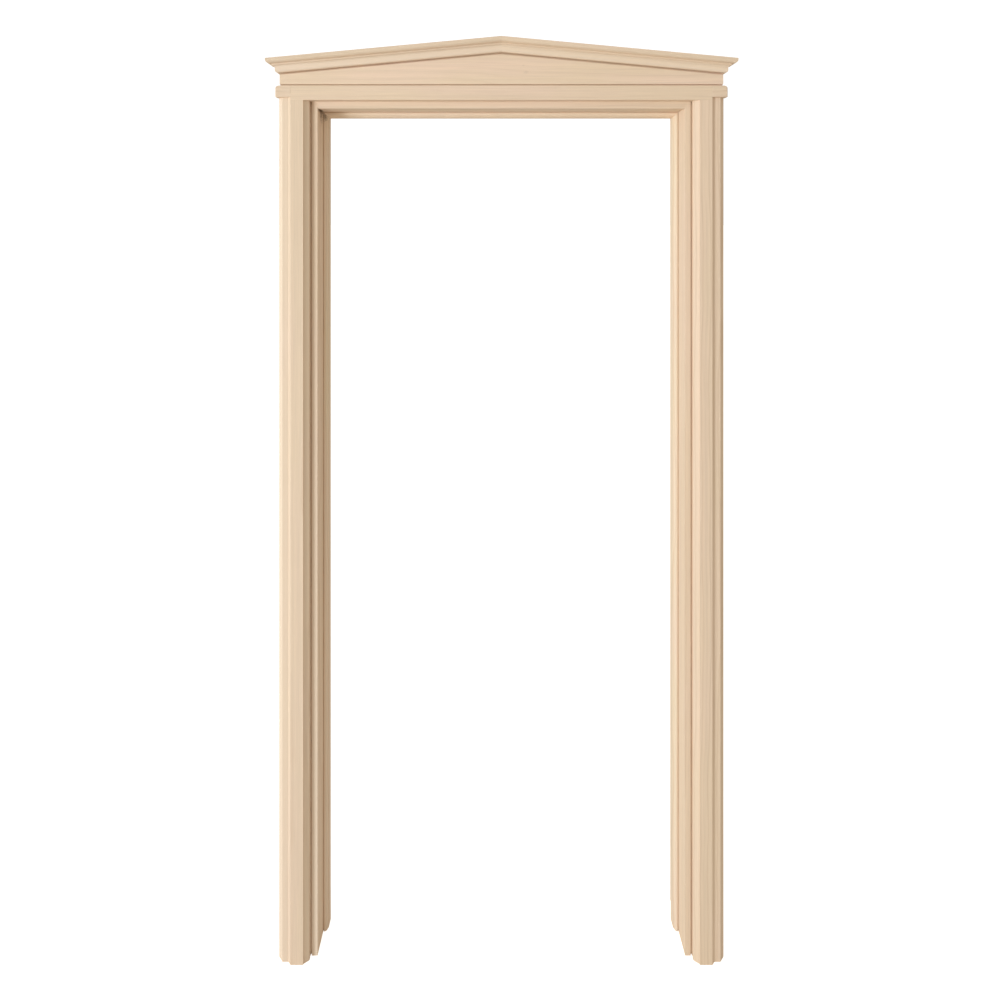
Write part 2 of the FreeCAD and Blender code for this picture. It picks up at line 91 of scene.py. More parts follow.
def body_of_rings(name, rings, arris_highlight):
    """One closed body from a stack of equal rings: quads between neighbouring rings and a
    flat face on the first and the last. Its faces are turned outwards where the signed
    volume, the sum of a . (b x c) over its triangles, comes out negative."""
    count, around = rings.shape[:2]
    number = np.arange(count * around).reshape(count, around)
    here, there = number[:-1], number[1:]
    quads = np.stack([here, np.roll(here, -1, 1), np.roll(there, -1, 1), there], -1)
    caps = [number[0][::-1].tolist(), number[-1].tolist()]
    mesh = bpy.data.meshes.new(name)
    mesh.from_pydata(rings.reshape(-1, 3).tolist(), [], quads.reshape(-1, 4).tolist() + caps)
    mesh.calc_loop_triangles()
    corner = np.empty(3 * len(mesh.loop_triangles), np.int32)
    mesh.loop_triangles.foreach_get("vertices", corner)
    a, b, c = rings.reshape(-1, 3)[corner.reshape(-1, 3)].transpose(1, 0, 2)
    if (a * np.cross(b, c)).sum() < 0:
        mesh.flip_normals()
    mesh.polygons.foreach_set("use_smooth", np.ones(len(mesh.polygons), bool))
    # Painted highlight: how much paler each point is painted is kept on the mesh.
    mesh.attributes.new("arris_highlight", "FLOAT", "POINT").data.foreach_set(
        "value", arris_highlight.astype(np.float32).ravel())
    piece = bpy.data.objects.new(name, mesh)
    bpy.context.scene.collection.objects.link(piece)
    return piece


def milled(name, outline, arris_highlight, origin, across, up, along, start, stop, eased=END_EASE):
    """Carries a closed outline along a straight line. A point of a ring is
    origin + a across + b up + s along. The cut planes start and stop are
    (s, slope in a, slope in b), so that an end can be cut at an angle. Over a quarter
    turn at each end the outline shrinks by eased times (1 - sine), while the ring moves
    in from the cut by eased times (1 - cosine)."""
    tangent = np.roll(outline, -1, 0) - np.roll(outline, 1, 0)
    normal = np.stack([tangent[:, 1], -tangent[:, 0]], 1)
    normal /= np.maximum(np.linalg.norm(normal, axis=1, keepdims=True), 1e-12)
    area = 0.5 * np.sum(outline[:, 0] * np.roll(outline[:, 1], -1)
                        - np.roll(outline[:, 0], -1) * outline[:, 1])
    normal *= np.sign(area)
    quarter = math.pi / 2
    turn = (np.linspace(0, quarter, END_STEPS) if eased else np.array([quarter]))[:, None]
    inset = eased * (1 - np.sin(turn))
    depth = eased * (1 - np.cos(turn))
    near = outline[None] - normal[None] * inset[:, :, None]
    low = start[0] + near @ np.array(start[1:]) + depth
    high = stop[0] + near[::-1] @ np.array(stop[1:]) - depth[::-1]
    flat = np.concatenate([near, near[::-1]])
    run = np.concatenate([low, high])[:, :, None]
    rings = (np.asarray(origin, float) + flat[:, :, :1] * np.asarray(across)
             + flat[:, :, 1:] * np.asarray(up) + run * np.asarray(along))
    # Painted highlight: the eased ends are painted paler as well.
    end_highlight = np.sin(2 * turn) if eased > 0 else 0 * turn
    end_highlight = np.concatenate([end_highlight, end_highlight[::-1]])
    return body_of_rings(name, rings, np.maximum(end_highlight, arris_highlight[None]))


def socket(group, name, kind, way, value=None):
    """Gives the node group a named input or output, with its value where it has one."""
    made = group.interface.new_socket(name=name, in_out=way, socket_type="NodeSocket" + kind)
    if value is not None:
        made.default_value = value


def node(tree, kind, place, values=None, **settings):
    """A node of that kind with its settings, and with values on the named inputs."""
    made = tree.nodes.new("ShaderNode" + kind)
    made.location = place
    for key, value in settings.items():
        setattr(made, key, value)
    for key, value in (values or {}).items():
        made.inputs[key].default_value = value
    return made


def grain_group():
    """Figure of solid softwood. The growth rings are cylinders round the pith: a ring's
    number is the distance from the pith divided by the ring width, its late wood is
    strongest just before the next ring, and each ring has a strength of its own. Slow noise
    moves the point first, which bends the rings and gives flames where a board is cut
    along them. Fibres and broader streaks are noise drawn out along the stem, and so,
    less, are warm patches. Where the face looks along the stem the wood is darker, as end
    grain is, and each arris is painted paler, a painted highlight."""
    bends_per_metre, bend_far = (2.6, 2.6, 1.3), 0.045
    fibres_per_metre, streaks_per_metre = (900, 900, 14), (110, 110, 1.3)
    patches_per_metre = (19, 19, 2.6)
    g = bpy.data.node_groups.new("softwood_grain", "ShaderNodeTree")
    socket(g, "Stem", "Vector", "INPUT")
    socket(g, "Cut", "Vector", "INPUT")
    socket(g, "Early wood", "Color", "INPUT", (0.7, 0.5, 0.35, 1))
    socket(g, "Late wood", "Color", "INPUT", (0.55, 0.38, 0.25, 1))
    socket(g, "Warm patches", "Color", "INPUT", (0.72, 0.48, 0.35, 1))
    socket(g, "Ring width", "Float", "INPUT", 0.006)
    socket(g, "Ring strength", "Float", "INPUT", 0.35)
    socket(g, "Fibre strength", "Float", "INPUT", 0.1)
    socket(g, "Patch strength", "Float", "INPUT", 0.4)
    socket(g, "Arris highlight", "Float", "INPUT", 0.0)
    socket(g, "Colour", "Color", "OUTPUT")
    socket(g, "Roughness", "Float", "OUTPUT")
    socket(g, "Height", "Float", "OUTPUT")
    t, link = g, g.links.new
    given = t.nodes.new("NodeGroupInput")
    given.location = (-1500, 0)
    result = t.nodes.new("NodeGroupOutput")
    result.location = (1300, 0)

    slow = node(t, "VectorMath", (-1300, 300), {1: bends_per_metre}, operation="MULTIPLY")
    wander = node(t, "TexNoise", (-1100, 300), {"Scale": 1.0, "Detail": 3.5, "Roughness": 0.55})
    centred = node(t, "VectorMath", (-900, 300), {1: (0.5, 0.5, 0.5)}, operation="SUBTRACT")
    bend = node(t, "VectorMath", (-700, 300), {"Scale": bend_far}, operation="SCALE")
    bent = node(t, "VectorMath", (-500, 300), operation="ADD")
    flat = node(t, "VectorMath", (-300, 300), {1: (1, 1, 0)}, operation="MULTIPLY")
    radius = node(t, "VectorMath", (-100, 300), operation="LENGTH")
    rings = node(t, "Math", (100, 300), operation="DIVIDE")
    share = node(t, "Math", (300, 300), operation="FRACT")
    late = node(t, "ValToRGB", (500, 300))
    ramp = late.color_ramp
    ramp.interpolation = "EASE"
    ramp.elements[0].position, ramp.elements[0].color = 0.35, (0, 0, 0, 1)
    ramp.elements[1].position, ramp.elements[1].color = 0.86, (1, 1, 1, 1)
    edge = ramp.elements.new(1.0)
    edge.color = (0.0, 0.0, 0.0, 1)
    whole = node(t, "Math", (300, 100), operation="FLOOR")
    year = node(t, "TexWhiteNoise", (500, 100), noise_dimensions="1D")
    ring_mask = node(t, "Math", (700, 200), operation="MULTIPLY")
    ring_share = node(t, "Math", (850, 200), operation="MULTIPLY")
    link(given.outputs["Stem"], slow.inputs[0])
    link(slow.outputs[0], wander.inputs["Vector"])
    link(wander.outputs["Color"], centred.inputs[0])
    link(centred.outputs[0], bend.inputs[0])
    link(bend.outputs[0], bent.inputs[0])
    link(given.outputs["Stem"], bent.inputs[1])
    link(bent.outputs[0], flat.inputs[0])
    link(flat.outputs[0], radius.inputs[0])
    link(radius.outputs["Value"], rings.inputs[0])
    link(given.outputs["Ring width"], rings.inputs[1])
    link(rings.outputs[0], share.inputs[0])
    link(share.outputs[0], late.inputs[0])
    link(rings.outputs[0], whole.inputs[0])
    link(whole.outputs[0], year.inputs["W"])
    link(late.outputs["Color"], ring_mask.inputs[0])
    link(year.outputs["Value"], ring_mask.inputs[1])
    link(ring_mask.outputs[0], ring_share.inputs[0])
    link(given.outputs["Ring strength"], ring_share.inputs[1])

    fine = node(t, "VectorMath", (-1300, -100), {1: fibres_per_metre}, operation="MULTIPLY")
    fibre = node(t, "TexNoise", (-1100, -100), {"Scale": 1.0, "Detail": 2.5, "Roughness": 0.6})
    broad = node(t, "VectorMath", (-1300, -300), {1: streaks_per_metre}, operation="MULTIPLY")
    streak = node(t, "TexNoise", (-1100, -300), {"Scale": 1.0, "Detail": 3.0, "Roughness": 0.55})
    wide = node(t, "VectorMath", (-1300, -500), {1: patches_per_metre}, operation="MULTIPLY")
    patch = node(t, "TexNoise", (-1100, -500), {"Scale": 1.0, "Detail": 1.5})
    for place, texture in ((fine, fibre), (broad, streak), (wide, patch)):
        link(given.outputs["Stem"], place.inputs[0])
        link(place.outputs[0], texture.inputs["Vector"])
    patch_mask = node(t, "MapRange", (-850, -500), {"From Min": 0.42, "From Max": 0.62})
    patch_share = node(t, "Math", (-650, -500), operation="MULTIPLY")
    link(patch.outputs["Fac"], patch_mask.inputs["Value"])
    link(patch_mask.outputs["Result"], patch_share.inputs[0])
    link(given.outputs["Patch strength"], patch_share.inputs[1])
    both = node(t, "Math", (-850, -200), operation="ADD")
    even = node(t, "Math", (-650, -200), {1: 1.0}, operation="SUBTRACT")
    fibre_share = node(t, "Math", (-450, -200), operation="MULTIPLY")
    tone = node(t, "Math", (-250, -200), {1: 1.0}, operation="ADD")
    link(fibre.outputs["Fac"], both.inputs[0])
    link(streak.outputs["Fac"], both.inputs[1])
    link(both.outputs[0], even.inputs[0])
    link(even.outputs[0], fibre_share.inputs[0])
    link(given.outputs["Fibre strength"], fibre_share.inputs[1])
    link(fibre_share.outputs[0], tone.inputs[0])

    base = node(t, "Mix", (-250, -450), data_type="RGBA")
    link(patch_share.outputs[0], base.inputs["Factor"])
    link(given.outputs["Early wood"], base.inputs["A"])
    link(given.outputs["Warm patches"], base.inputs["B"])
    ringed = node(t, "Mix", (200, -250), data_type="RGBA")
    link(ring_share.outputs[0], ringed.inputs["Factor"])
    link(base.outputs["Result"], ringed.inputs["A"])
    link(given.outputs["Late wood"], ringed.inputs["B"])
    toned = node(t, "VectorMath", (450, -250), operation="SCALE")
    link(ringed.outputs["Result"], toned.inputs[0])
    link(tone.outputs[0], toned.inputs["Scale"])

    cut = node(t, "SeparateXYZ", (200, -600))
    facing = node(t, "Math", (400, -600), operation="ABSOLUTE")
    end_grain = node(t, "MapRange", (600, -600),
                     {"From Min": 0.8, "From Max": 0.98, "To Max": 0.22})
    keep = node(t, "Math", (800, -600), {0: 1.0}, operation="SUBTRACT")
    link(given.outputs["Cut"], cut.inputs[0])
    link(cut.outputs["Z"], facing.inputs[0])
    link(facing.outputs[0], end_grain.inputs["Value"])
    link(end_grain.outputs["Result"], keep.inputs[1])
    darker = node(t, "VectorMath", (650, -250), operation="SCALE")
    link(toned.outputs[0], darker.inputs[0])
    link(keep.outputs[0], darker.inputs["Scale"])
    # Painted highlight: arrises are mixed a little towards a light tan.
    highlighted = node(t, "Mix", (900, -250), {"B": (0.83, 0.66, 0.50, 1)}, data_type="RGBA")
    highlight_share = node(t, "Math", (700, -420), {1: 0.22}, operation="MULTIPLY")
    link(given.outputs["Arris highlight"], highlight_share.inputs[0])
    link(highlight_share.outputs[0], highlighted.inputs["Factor"])
    link(darker.outputs[0], highlighted.inputs["A"])
    link(highlighted.outputs["Result"], result.inputs["Colour"])

    rough = node(t, "MapRange", (900, -500), {"To Min": 0.78, "To Max": 0.62})
    link(fibre.outputs["Fac"], rough.inputs["Value"])
    link(rough.outputs["Result"], result.inputs["Roughness"])
    relief = node(t, "Math", (900, 0), {1: 0.35}, operation="MULTIPLY_ADD")
    link(late.outputs["Color"], relief.inputs[0])
    link(fibre.outputs["Fac"], relief.inputs[2])
    link(relief.outputs[0], result.inputs["Height"])
    return g


GRAIN = grain_group()
# The turn that lays the stem along an upright piece.
UPRIGHT = (0, 0, 0)


def mark_group():
    """A small dark mark in the wood, such as a pin knot or a bruise. The mask falls as the
    squashed distance from its place, divided by its radius, grows, and noise times Ragged
    added to that share breaks it into specks."""
    specks_per_metre = 420.0
    g = bpy.data.node_groups.new("wood_mark", "ShaderNodeTree")
    socket(g, "Point", "Vector", "INPUT")
    socket(g, "Place", "Vector", "INPUT")
    socket(g, "Squash", "Vector", "INPUT", (1, 1, 1))
    socket(g, "Radius", "Float", "INPUT", 0.003)
    socket(g, "Strength", "Float", "INPUT", 0.5)
    socket(g, "Ragged", "Float", "INPUT", 0.9)
    socket(g, "Mark colour", "Color", "INPUT", (0.13, 0.075, 0.04, 1))
    socket(g, "Base", "Color", "INPUT", (0.7, 0.5, 0.35, 1))
    socket(g, "Colour", "Color", "OUTPUT")
    t, link = g, g.links.new
    given = t.nodes.new("NodeGroupInput")
    given.location = (-900, 0)
    result = t.nodes.new("NodeGroupOutput")
    result.location = (900, 0)
    away = node(t, "VectorMath", (-700, 100), operation="SUBTRACT")
    squashed = node(t, "VectorMath", (-500, 100), operation="MULTIPLY")
    distance = node(t, "VectorMath", (-300, 100), operation="LENGTH")
    share = node(t, "Math", (-100, 100), operation="DIVIDE")
    speck = node(t, "TexNoise", (-500, -200), {"Scale": specks_per_metre, "Detail": 2.0})
    ragged = node(t, "Math", (100, 100), operation="MULTIPLY_ADD")
    inside = node(t, "MapRange", (300, 100), {"From Min": 1.35, "From Max": 0.65})
    amount = node(t, "Math", (500, 100), operation="MULTIPLY")
    mixed = node(t, "Mix", (700, 0), data_type="RGBA")
    link(given.outputs["Point"], away.inputs[0])
    link(given.outputs["Place"], away.inputs[1])
    link(away.outputs[0], squashed.inputs[0])
    link(given.outputs["Squash"], squashed.inputs[1])
    link(squashed.outputs[0], distance.inputs[0])
    link(distance.outputs["Value"], share.inputs[0])
    link(given.outputs["Radius"], share.inputs[1])
    link(given.outputs["Point"], speck.inputs["Vector"])
    link(speck.outputs["Fac"], ragged.inputs[0])
    link(given.outputs["Ragged"], ragged.inputs[1])
    link(share.outputs[0], ragged.inputs[2])
    link(ragged.outputs[0], inside.inputs["Value"])
    link(inside.outputs["Result"], amount.inputs[0])
    link(given.outputs["Strength"], amount.inputs[1])
    link(amount.outputs[0], mixed.inputs["Factor"])
    link(given.outputs["Base"], mixed.inputs["A"])
    link(given.outputs["Mark colour"], mixed.inputs["B"])
    link(mixed.outputs["Result"], result.inputs["Colour"])
    return g


MARK = mark_group()


def softwood(name, stem_turn, pith, shade=1.0, early=(0.80, 0.605, 0.43),
             late=(0.62, 0.42, 0.27), warm=(0.805, 0.60, 0.44), ring=0.0075,
             ring_strength=0.36, fibre=0.20, patch=0.8, marks=(), painted_light=None):
    """Bare, planed softwood. stem_turn lays the stem along the piece, and pith is where
    the middle of the tree lies from the piece, in the turned frame. shade multiplies the
    three tones of the board. Each of marks is (place, squash, radius, strength, ragged).
    sapwood, the paler wood on one side of a board, is (direction, from, to, strength): it
    The paler tone argument is (direction, from, to, strength), painted light on one side of a
    piece: it grows from none to its strength between two distances along a direction of the
    turned piece."""
    early, late, warm = (tuple(shade * c for c in tone) for tone in (early, late, warm))
    wood = bpy.data.materials.new(name)
    wood.use_nodes = True
    t, link = wood.node_tree, wood.node_tree.links.new
    t.nodes.clear()
    place = node(t, "TexCoord", (-1000, 0))
    stem = node(t, "Mapping", (-800, 100), {"Location": pith, "Rotation": stem_turn})
    cut = node(t, "Mapping", (-800, -300), {"Rotation": stem_turn}, vector_type="NORMAL")
    # Painted highlight: how much paler each arris is painted, read from the mesh.
    highlight_at = node(t, "Attribute", (-800, -650), attribute_name="arris_highlight")
    figure = t.nodes.new("ShaderNodeGroup")
    figure.node_tree = GRAIN
    figure.location = (-500, 0)
    for key, value in (("Early wood", (*early, 1)), ("Late wood", (*late, 1)),
                       ("Warm patches", (*warm, 1)), ("Ring width", ring),
                       ("Ring strength", ring_strength), ("Fibre strength", fibre),
                       ("Patch strength", patch)):
        figure.inputs[key].default_value = value
    relief = node(t, "Bump", (-200, -250), {"Strength": 0.35, "Distance": 0.0002})
    shader = node(t, "BsdfPrincipled", (0, 0), {"Specular IOR Level": 0.25})
    out = node(t, "OutputMaterial", (300, 0))
    link(place.outputs["Object"], stem.inputs["Vector"])
    link(place.outputs["Normal"], cut.inputs["Vector"])
    link(stem.outputs[0], figure.inputs["Stem"])
    link(cut.outputs[0], figure.inputs["Cut"])
    link(highlight_at.outputs["Fac"], figure.inputs["Arris highlight"])
    colour = figure.outputs["Colour"]
    # Painted light: one side of the piece is painted paler.
    if painted_light:
        direction, first, last, strength = painted_light
        turned = node(t, "VectorMath", (-700, 350), {1: pith}, operation="SUBTRACT")
        apart = node(t, "VectorMath", (-500, 350), {1: direction}, operation="DOT_PRODUCT")
        pale = node(t, "MapRange", (-300, 350), {"From Min": first, "From Max": last,
                                                 "To Max": strength})
        paler = node(t, "Mix", (-150, 250), {"B": (0.87, 0.69, 0.525, 1)}, data_type="RGBA")
        link(stem.outputs[0], turned.inputs[0])
        link(turned.outputs[0], apart.inputs[0])
        link(apart.outputs["Value"], pale.inputs["Value"])
        link(pale.outputs["Result"], paler.inputs["Factor"])
        link(colour, paler.inputs["A"])
        colour = paler.outputs["Result"]
    for number, (spot, squash, radius, strength, ragged) in enumerate(marks):
        mark = t.nodes.new("ShaderNodeGroup")
        mark.node_tree = MARK
        mark.location = (-150, 500 + 250 * number)
        mark.inputs["Place"].default_value = spot
        mark.inputs["Squash"].default_value = squash
        mark.inputs["Radius"].default_value = radius
        mark.inputs["Strength"].default_value = strength
        mark.inputs["Ragged"].default_value = ragged
        link(place.outputs["Object"], mark.inputs["Point"])
        link(colour, mark.inputs["Base"])
        colour = mark.outputs["Colour"]
    link(colour, shader.inputs["Base Color"])
    link(figure.outputs["Roughness"], shader.inputs["Roughness"])
    link(figure.outputs["Height"], relief.inputs["Height"])
    link(relief.outputs[0], shader.inputs["Normal"])
    link(shader.outputs[0], out.inputs["Surface"])
    return wood


def fit(piece, wood, slot, *nodes):
    """The piece gets its wood, rides with the frame and stands for its CAD nodes."""
    piece.data.materials.clear()
    piece.data.materials.append(wood)
    piece.data.set_sharp_from_angle(angle=math.radians(35))
    flat_faces = piece.modifiers.new("flat_faces", "WEIGHTED_NORMAL")
    flat_faces.weight = 100
    flat_faces.keep_sharp = True
    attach(piece, "root")
    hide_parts(*nodes)


# Dark, rough marks at the top left corner of the opening: a line along the joint with the
# head, and specks below it. Each is (place, squash, radius, strength, ragged).
CORNER_MARKS = [((-0.4325, -0.012, 1.9940), (1, 0.20, 0.8), 0.0058, 0.90, 0.7),
                ((-0.4325, -0.006, 1.9830), (1, 0.75, 0.55), 0.0200, 0.80, 1.45)]

# Painted light: the left jamb's front edge is painted paler, and more so towards the floor.
PAINTED_LIGHT_FRONT = ((0, 1, 0.006), -0.026, -0.0365, 0.9)

for side, hand, pith, marks, painted_light in (
        (-1, "left", (0.62, 0.06, 0.0), CORNER_MARKS, PAINTED_LIGHT_FRONT),
        (1, "right", (-0.30, 0.11, 0.7), (), None)):
    outline, arris_highlight = soften([(side * x, y, radius) for x, y, radius in (
        (HALF_CLEAR, JAMB_FRONT, EASED), (QUIRK_IN, JAMB_FRONT, FINE),
        (QUIRK_IN, QUIRK_FLOOR, FINE), (CASING_IN, QUIRK_FLOOR, FINE),
        (CASING_IN, JAMB_FRONT, FINE), (JAMB_OUT, JAMB_FRONT, EASED),
        (JAMB_OUT, JAMB_BACK, EASED), (HALF_CLEAR, JAMB_BACK, EASED))])
    jamb = milled(f"lining_{hand}", outline, arris_highlight, (0, 0, 0), ACROSS, BACKWARD, UPWARD,
                  (0, 0, 0), (JAMB_TOP, 0, 0), eased=CUT_EASE)
    wood = softwood(f"jamb_wood_{hand}", UPRIGHT, pith, shade=1.01, marks=marks,
                    painted_light=painted_light)
    fit(jamb, wood, "lining", f"jamb_{hand}")

# Head jamb

# The board over the opening. A trench across each end of its underside holds the side
# jamb, and two screws go down through it into the end grain of each.

HEAD_LOW = 1.995
HEAD_TOP = 2.027
HORN_END = 0.4845
BAND_LOW = 2.0115
HEAD_EASE = 0.0005
PAST = 0.01             # how far a cutting body reaches past the piece
JAMB_THICK = 0.032
SCREW_OUT = HALF_CLEAR + JAMB_THICK / 2
SCREW_INSET = 0.030
SCREW_HEAD = 0.005
SEAT_ROOM = 1.02        # width of the seat over that of the head
SEAT_DEEP = 0.0055
SEAT_STEPS = 48
# The turn that lays the stem across the head.
LEVEL = (0, -math.pi / 2, 0)


def block(low, high):
    """A square block between two corners, for cutting with."""
    x, y, z = np.stack([low, high], 1)
    corners = np.array([(x[i], y[j]) for i, j in ((0, 0), (1, 0), (1, 1), (0, 1))])
    rings = np.stack([np.column_stack([corners, np.full(4, h)]) for h in z])
    return body_of_rings("block", rings, np.zeros((2, 4)))


def cut_away(piece, tool, way="DIFFERENCE"):
    """Takes the tool's body out of the piece, or with INTERSECT keeps only what lies in
    it, and puts the tool away."""
    cut = piece.modifiers.new("cut", "BOOLEAN")
    cut.operation = way
    cut.solver = "EXACT"
    cut.object = tool
    bpy.context.view_layer.update()
    whole = piece.data
    seen = piece.evaluated_get(bpy.context.evaluated_depsgraph_get())
    piece.data = bpy.data.meshes.new_from_object(seen)
    piece.modifiers.remove(cut)
    bpy.data.objects.remove(tool)
    piece.data.name = whole.name


half_head = [(HALF_CLEAR, HEAD_LOW), (HALF_CLEAR, JAMB_TOP), (JAMB_OUT, JAMB_TOP),
             (JAMB_OUT, HEAD_LOW), (HORN_END, HEAD_LOW), (HORN_END, HEAD_TOP)]
head_corners = half_head + [(-x, z) for x, z in reversed(half_head)]
outline, arris_highlight = soften([(x, z, EASED) for x, z in head_corners], steps=5)
head = milled("lining_head", outline, arris_highlight, (0, 0, 0), ACROSS, UPWARD, BACKWARD,
              (JAMB_FRONT, 0, 0), (JAMB_BACK, 0, 0), eased=HEAD_EASE)
for side in (-1, 1):
    near, far = sorted((side * QUIRK_IN, side * CASING_IN))
    cut_away(head, block((near, JAMB_FRONT - PAST, HEAD_LOW - PAST),
                         (far, QUIRK_FLOOR, BAND_LOW)))
# A round seat for each screw head, its circle the cosine and sine of the turn.
round_turn = np.linspace(0, 2 * math.pi, SEAT_STEPS, endpoint=False)
seat = SEAT_ROOM * SCREW_HEAD * np.stack([np.cos(round_turn), np.sin(round_turn)], 1)
for side in (-1, 1):
    for deep in (JAMB_FRONT + SCREW_INSET, JAMB_BACK - SCREW_INSET):
        cut_away(head, milled("seat", seat, np.zeros(SEAT_STEPS),
                              (side * SCREW_OUT, deep, HEAD_TOP), ACROSS, BACKWARD, UPWARD,
                              (-SEAT_DEEP, 0, 0), (PAST, 0, 0), eased=0))
fit(head, softwood("head_jamb_wood", LEVEL, (2.10, 0.05, 0.2), marks=CORNER_MARKS[:1]),
    "lining", "jamb_head")

# Stops

# Planted strips that the leaf closes against from behind. An ovolo is run on the edge
# that faces the room, and the three strips meet in mitres at the top corners.

STOP_THICK = 0.0115
STOP_FRONT = 0.011
STOP_BACK = 0.038
STOP_FILLET = 0.0015
STOP_QUIRK = 0.002
STOP_ROUND = STOP_THICK - STOP_QUIRK - STOP_FILLET


def stop_outline(face, inward):
    """Section of a stop as (thickness, depth): square at the back, and in front a quirk
    against the jamb, then a quarter circle, then a fillet to the broad face."""
    inner = face + inward * STOP_THICK
    arris = inner - inward * STOP_FILLET
    quirk = face + inward * STOP_QUIRK
    turn = STOP_FRONT + STOP_ROUND
    return soften([(face, STOP_FRONT + STOP_QUIRK, FINE), (quirk, STOP_FRONT + STOP_QUIRK, FINE),
                   (quirk, STOP_FRONT, FINE), (arris, STOP_FRONT, STOP_ROUND - FINE),
                   (arris, turn, FINE), (inner, turn, FINE), (inner, STOP_BACK, EASED),
                   (face, STOP_BACK, FINE)])


# The specks of the jamb's corner run on over the left stop.
STOP_MARK = [((-0.4280, 0.0115, 1.9840), (1, 0.8, 0.6), 0.0120, 0.70, 1.3)]

for side, hand, pith, marks in ((-1, "left", (0.35, -0.11, 0.3), STOP_MARK),
                                (1, "right", (-0.61, 0.02, 1.1), ())):
    outline, arris_highlight = stop_outline(side * HALF_CLEAR, -side)
    stop = milled(f"stop_strip_{hand}", outline, arris_highlight, (0, 0, 0), ACROSS, BACKWARD, UPWARD,
                  (0, 0, 0), (HEAD_LOW - HALF_CLEAR, side, 0), eased=CUT_EASE)
    wood = softwood(f"stop_wood_{hand}", UPRIGHT, pith, shade=1.05, early=(0.775, 0.615, 0.44),
                    warm=(0.78, 0.60, 0.45), marks=marks)
    fit(stop, wood, "lining", f"stop_{hand}")

outline, arris_highlight = stop_outline(HEAD_LOW, -1)
stop = milled("stop_strip_head", outline, arris_highlight, (0, 0, 0), UPWARD, BACKWARD, ACROSS,
              (HEAD_LOW - HALF_CLEAR, -1, 0), (HALF_CLEAR - HEAD_LOW, 1, 0), eased=CUT_EASE)
wood = softwood("stop_wood_head", LEVEL, (1.93, -0.08, 0.5), shade=1.09)
fit(stop, wood, "lining", "stop_head")

# Casings

# One moulding down each side, nailed to the jamb's front edge 16.5 mm back from its arris:
# a steep slope that ends in a small step, a broad flat, a fall to a thin outer strip, and
# a bevel to the wall. Its inner foot is undercut over the groove in the jamb.

CASING_FACE = -0.055
FLAT_IN = 0.461
EAR_IN = 0.4905
STRIP_IN = 0.4975
CASING_OUT = 0.5225
SLOPE_THIN = 0.009
SLOPE_STEP = 0.002
STRIP_THICK = 0.012
STRIP_FACE = JAMB_FRONT - STRIP_THICK
BEVEL_WIDE = 0.011
BEVEL_DEEP = 0.010
UNDERCUT_WIDE = 0.003
UNDERCUT_HIGH = 0.004
UNDERCUT_FACE = JAMB_FRONT - UNDERCUT_HIGH
EAR_LOW = 2.0185
# Painted light: the outer strip of the left casing, the side facing the windows, is painted
# paler.
PAINTED_LIGHT_STRIP = ((1, 0, 0), -0.494, -0.502, 0.35)

for side, hand, pith, shade, painted_light in (
        (-1, "left", (0.44, 0.19, 0.0), 0.945, PAINTED_LIGHT_STRIP),
        (1, "right", (-0.58, 0.12, 0.4), 1.0, None)):
    outline, arris_highlight = soften([(side * x, y, radius) for x, y, radius in (
        (CASING_IN + UNDERCUT_WIDE, JAMB_FRONT, FINE),
        (CASING_IN + UNDERCUT_WIDE, UNDERCUT_FACE, FINE),
        (CASING_IN, UNDERCUT_FACE, FINE), (CASING_IN, JAMB_FRONT - SLOPE_THIN, EASED),
        (FLAT_IN, CASING_FACE + SLOPE_STEP, FINE), (FLAT_IN, CASING_FACE, FINE),
        (EAR_IN, CASING_FACE, EASED), (STRIP_IN, STRIP_FACE, EASED),
        (CASING_OUT - BEVEL_WIDE, STRIP_FACE, EASED),
        (CASING_OUT, STRIP_FACE + BEVEL_DEEP, EASED), (CASING_OUT, JAMB_FRONT, FINE))])
    casing = milled(f"architrave_{hand}", outline, arris_highlight, (0, 0, 0), ACROSS, BACKWARD, UPWARD,
                    (0, 0, 0), (EAR_LOW, 0, 0), eased=CUT_EASE)
    near, far = sorted((side * (CASING_IN - PAST), side * EAR_IN))
    cut_away(casing, block((near, CASING_FACE - PAST, BAND_LOW),
                           (far, JAMB_FRONT + PAST, EAR_LOW + PAST)))
    wood = softwood(f"casing_wood_{hand}", UPRIGHT, pith, shade=shade, painted_light=painted_light)
    fit(casing, wood, "casing", f"casing_{hand}")

# Band and ears

# A level board over the casings, as thick as they are. A short ear stands at each end,
# its top outer corner and its upright front edge rounded over, and the joint shows as a
# fine upright line.

BAND_TOP = 2.0451
EAR_END = 0.527
EAR_ROUND = 0.004
EAR_TOP_ROUND = 0.009
EAR_LOW_ROUND = 0.0015
PLAN_PAST = 0.001

outline, arris_highlight = soften([(JAMB_FRONT, BAND_LOW, FINE), (CASING_FACE, BAND_LOW, EASED),
                          (CASING_FACE, BAND_TOP, EASED), (JAMB_FRONT, BAND_TOP, FINE)])
band = milled("level_band", outline, arris_highlight, (0, 0, 0), BACKWARD, UPWARD, ACROSS,
              (-EAR_IN, 0, 0), (EAR_IN, 0, 0), eased=CUT_EASE)
wood = softwood("band_wood", LEVEL, (2.12, 0.04, 0.1), shade=0.97, warm=(0.81, 0.60, 0.445),
                ring_strength=0.2, patch=1.0)
fit(band, wood, "crosshead", "band")

